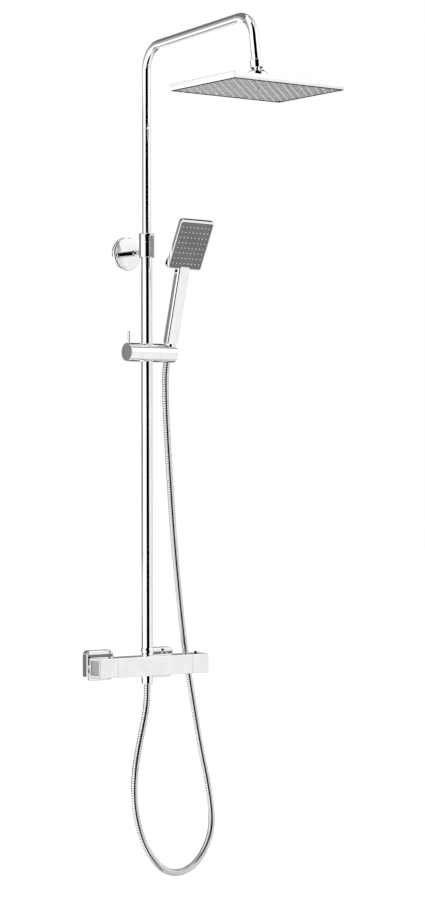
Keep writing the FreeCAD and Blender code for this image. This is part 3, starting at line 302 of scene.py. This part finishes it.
def along(line):
    """Distance along a line of points, at each of them."""
    return np.concatenate([[0.0], np.cumsum(np.linalg.norm(np.diff(line, axis=0), axis=1))])


def spread_evenly(line, count):
    at = along(line)
    wanted = np.linspace(0.0, at[-1], count)
    return np.stack([np.interp(wanted, at, line[:, k]) for k in range(3)], axis=1)


def frames_along(line):
    """Two unit vectors across the line at each point, carried along it without twisting."""
    tangents = np.gradient(line, axis=0)
    tangents /= np.linalg.norm(tangents, axis=1)[:, None]
    across = np.zeros_like(line)
    across[0] = np.cross(tangents[0], (1.0, 0.0, 0.0))
    for i in range(1, len(line)):
        across[i] = across[i - 1] - tangents[i] * (across[i - 1] @ tangents[i])
    for i in range(len(line)):
        across[i] /= np.linalg.norm(across[i])
    return across, np.cross(tangents, across)


def mesh_object(name, vertices, faces, smooth=True):
    mesh = bpy.data.meshes.new(name)
    mesh.from_pydata([tuple(v) for v in vertices], [], faces)
    mesh.validate()
    if smooth:
        mesh.shade_smooth()
    made = bpy.data.objects.new(name, mesh)
    bpy.context.scene.collection.objects.link(made)
    return made


def ridged_tube(name, line, start, across, up):
    """Tube that begins at the distance start along the hose. Its spiral ridges go on from the last stretch."""
    turn = 2 * math.pi * np.arange(HOSE_SIDES) / HOSE_SIDES
    vertices, shade = [], []
    for point, a, b, s in zip(line, across, up, start + along(line)):
        phase = (s / RIDGE_PITCH - np.arange(HOSE_SIDES) / HOSE_SIDES) % 1.0
        groove = np.clip(1.0 - np.abs(phase - 0.5) / GROOVE_HALF_WIDTH, 0.0, 1.0)
        shade += list(groove)
        radius = HOSE_DIAMETER / 2 - GROOVE_DEPTH * groove
        vertices += list(point + radius[:, None] * (np.cos(turn)[:, None] * a + np.sin(turn)[:, None] * b))
    faces = []
    for i in range(len(line) - 1):
        for j in range(HOSE_SIDES):
            k = (j + 1) % HOSE_SIDES
            here, there = i * HOSE_SIDES, (i + 1) * HOSE_SIDES
            faces.append((here + j, here + k, there + k, there + j))
    faces.append(tuple(range(HOSE_SIDES))[::-1])
    last = (len(line) - 1) * HOSE_SIDES
    faces.append(tuple(range(last, last + HOSE_SIDES)))
    tube = mesh_object(name, vertices, faces)
    # Each point's groove value also places the painted shade in the grooves.
    grooves = tube.data.attributes.new("groove", "FLOAT", "POINT")
    grooves.data.foreach_set("value", np.array(shade, np.float32))
    return tube


# Stretches from the valve up to the handset: name, length in metres (None is the rest), two bodies,
# and a share of its length.
HOSE_STRETCHES = [
    ("hose_long_loop", None, "wall_set", "slider_carriage", 0.3),
    ("hose_at_slider", 0.25, "slider_carriage", "slider", 0.0),
    ("hose_below_holder", 0.12, "slider", "holder", 0.0),
    ("hose_in_holder", 0.09, "holder", "hose_end", 0.0),
]


def make_hose():
    route = [(x / 1000, -out / 1000, z / 1000) for x, out, z in reversed(HOSE_ROUTE_MM)]
    line = smooth_line(route)
    total = along(line)[-1]
    step = RIDGE_PITCH / RINGS_PER_RIDGE
    count = int(round(total / step)) + 1
    line = spread_evenly(line, count)
    across, up = frames_along(line)
    step = along(line)[-1] / (count - 1)
    lengths = [length for _, length, _, _, _ in HOSE_STRETCHES[1:]]
    ends = [total - sum(lengths[i:]) for i in range(len(lengths))] + [total]
    first = 0
    made = []
    for (name, _, body_a, body_b, from_share), end in zip(HOSE_STRETCHES, ends):
        last = int(round(end / step))
        part = slice(first, last + 1)
        tube = ridged_tube(name, line[part], first * step, across[part], up[part])
        finish(tube, "hose_metal")
        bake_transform(tube)
        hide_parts("shower_hose")
        first = last
        made.append(tube)
    return made


hose = make_hose()


# ---- small pieces that the CAD leaves out ----
BAR_EDGE_ROUNDING = 0.00015


def ring_of_bars(name, low, high, width, slot, body, side_on="z"):
    """Rectangular frame between two corners: four bars, width wide, round the axis that side_on names."""
    axis = "xyz".index(side_on)
    u, v = [k for k in range(3) if k != axis]
    vertices = []
    for at in (low[axis], high[axis]):
        for inset in (0.0, width):
            for a, b in ((0, 0), (1, 0), (1, 1), (0, 1)):
                corner = [0.0, 0.0, 0.0]
                corner[axis] = at
                corner[u] = (low[u] + inset, high[u] - inset)[a]
                corner[v] = (low[v] + inset, high[v] - inset)[b]
                vertices.append(tuple(corner))
    faces = []
    for k in range(4):
        j = (k + 1) % 4
        faces += [(k, j, 4 + j, 4 + k), (8 + k, 12 + k, 12 + j, 8 + j)]
        faces += [(k, 8 + k, 8 + j, j), (4 + k, 4 + j, 12 + j, 12 + k)]
    made = mesh_object(name, vertices, faces, smooth=False)
    edge = made.modifiers.new("edge", "BEVEL")
    edge.width = BAR_EDGE_ROUNDING
    edge.segments = 2
    finish(made, slot)
    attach(made, body)
    return made


SEAL_WIDTH = 0.0022
SEAL_INSET = 0.0017  # from the widest part of the rim, which leaves the seal 0.3 mm proud of the underside
SEAL_BELOW = 0.0013
SEAL_ABOVE = 0.0004
head_low, head_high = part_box("head_shell")
ring_of_bars(
    "underside_seal",
    (head_low.x + SEAL_INSET, head_low.y + SEAL_INSET, head_low.z - SEAL_BELOW),
    (head_high.x - SEAL_INSET, head_high.y - SEAL_INSET, head_low.z + SEAL_ABOVE),
    SEAL_WIDTH, "rubber", "overhead_head",
)

END_FRAME_WIDTH = 0.004
END_FRAME_INSET = 0.0008
END_FRAME_PROUD = 0.0003
END_FRAME_SUNK = 0.0001
knob_low, knob_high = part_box("flow_knob")
ring_of_bars(
    "flow_knob_end_frame",
    (knob_low.x - END_FRAME_PROUD, knob_low.y + END_FRAME_INSET, knob_low.z + END_FRAME_INSET),
    (knob_low.x + END_FRAME_SUNK, knob_high.y - END_FRAME_INSET, knob_high.z - END_FRAME_INSET),
    END_FRAME_WIDTH, "frame_white", "flow_handle", "x",
)


# ---- studio ----
WHITE = 1.25
# Cards around the object, as seen from it: azimuth from the camera, positive to its right, low and high
# elevation, all in degrees, then brightness and how soft the edges are.
CARDS = [
    (50, 112, -60, -12, 0.99, 4),
    (50, 112, -12, 6, 0.95, 4),
    (112, 182, -90, 12, 0.72, 5),
    (-182, -94, -90, -35, 0.45, 6),
    (-182, -94, -8, -2.5, 0.2, 3),
    (-182, -88, -2.5, 8.4, 0.26, 1.5),
    (-182, -116, 8, 20, 0.25, 3),
    (-182, -88, 13, 70, 0.19, 2),
    (60, 182, 44, 50, 0.08, 2),
    (60, 182, 64, 91, 0.2, 4),
    (148, 182, 10, 44, 0.02, 6),
    (150, 182, -45, -9, 0.04, 5),
    (-28, 46, 5, 70, 0.0, 2),
    (-14, 48, 2, 7, 0.0, 2),
    (-9, 48, -90, 4, 0.0, 1.5),
]


def studio_world():
    world = bpy.data.worlds.new("studio")
    world.use_nodes = True
    bpy.context.scene.world = world
    n = Nodes(world.node_tree)
    direction = n.add("ShaderNodeTexCoord").outputs["Generated"]

    sine, cosine = math.sin(CAMERA_AZIMUTH), math.cos(CAMERA_AZIMUTH)
    to_right = n.dot(direction, cosine, -sine, 0.0)
    to_front = n.dot(direction, -sine, -cosine, 0.0)
    in_degrees = 180 / math.pi
    azimuth = n.math("MULTIPLY", n.math("ARCTAN2", to_right, to_front), in_degrees)
    elevation = n.math("MULTIPLY", n.math("ARCSINE", n.dot(direction, 0.0, 0.0, 1.0)), in_degrees)

    def band(angle, low, high, soft):
        rise = n.ramp(angle, 0.0, 1.0, low - soft / 2, low + soft / 2)
        fall = n.ramp(angle, 1.0, 0.0, high - soft / 2, high + soft / 2)
        return n.math("MULTIPLY", rise, fall)

    light = n.add("ShaderNodeValue").outputs[0]
    light.default_value = WHITE
    for left, right, low, high, brightness, soft in CARDS:
        mask = n.math("MULTIPLY", band(azimuth, left, right, soft), band(elevation, low, high, soft))
        kept = n.math("MULTIPLY", light, n.math("SUBTRACT", 1.0, mask))
        light = n.math("ADD", kept, n.math("MULTIPLY", mask, brightness))
    to_camera = n.add("ShaderNodeLightPath").outputs["Is Camera Ray"]
    shown = n.math("ADD", n.math("MULTIPLY", light, n.math("SUBTRACT", 1.0, to_camera)), to_camera)
    background = n.add("ShaderNodeBackground", {"Color": (1.0, 1.0, 1.0, 1.0), "Strength": shown})
    n.add("ShaderNodeOutputWorld", {"Surface": background.outputs[0]})


FLOOR_BELOW_INLETS = 1.0  # such a valve hangs about a metre above the shower's floor
FLOOR_REACH = 30.0


def floor():
    made = bpy.data.materials.new("pale_floor")
    made.use_nodes = True
    n = Nodes(made.node_tree)
    shade = n.mix(n.noise(1.5, 3.0), (0.93, 0.93, 0.93, 1.0), (0.95, 0.95, 0.95, 1.0))
    inputs = {"Base Color": shade, "Roughness": 0.9, "Emission Color": (1, 1, 1, 1), "Emission Strength": 0.5}
    shader = n.add("ShaderNodeBsdfPrincipled", inputs)
    n.add("ShaderNodeOutputMaterial", {"Surface": shader.outputs[0]})
    z = -FLOOR_BELOW_INLETS
    reach = FLOOR_REACH
    corners = [(-reach, -reach, z), (reach, -reach, z), (reach, reach, z), (-reach, reach, z)]
    plane = mesh_object("floor", corners, [(0, 1, 2, 3)], smooth=False)
    plane.data.materials.append(made)
    plane.visible_glossy = False


studio_world()
floor()
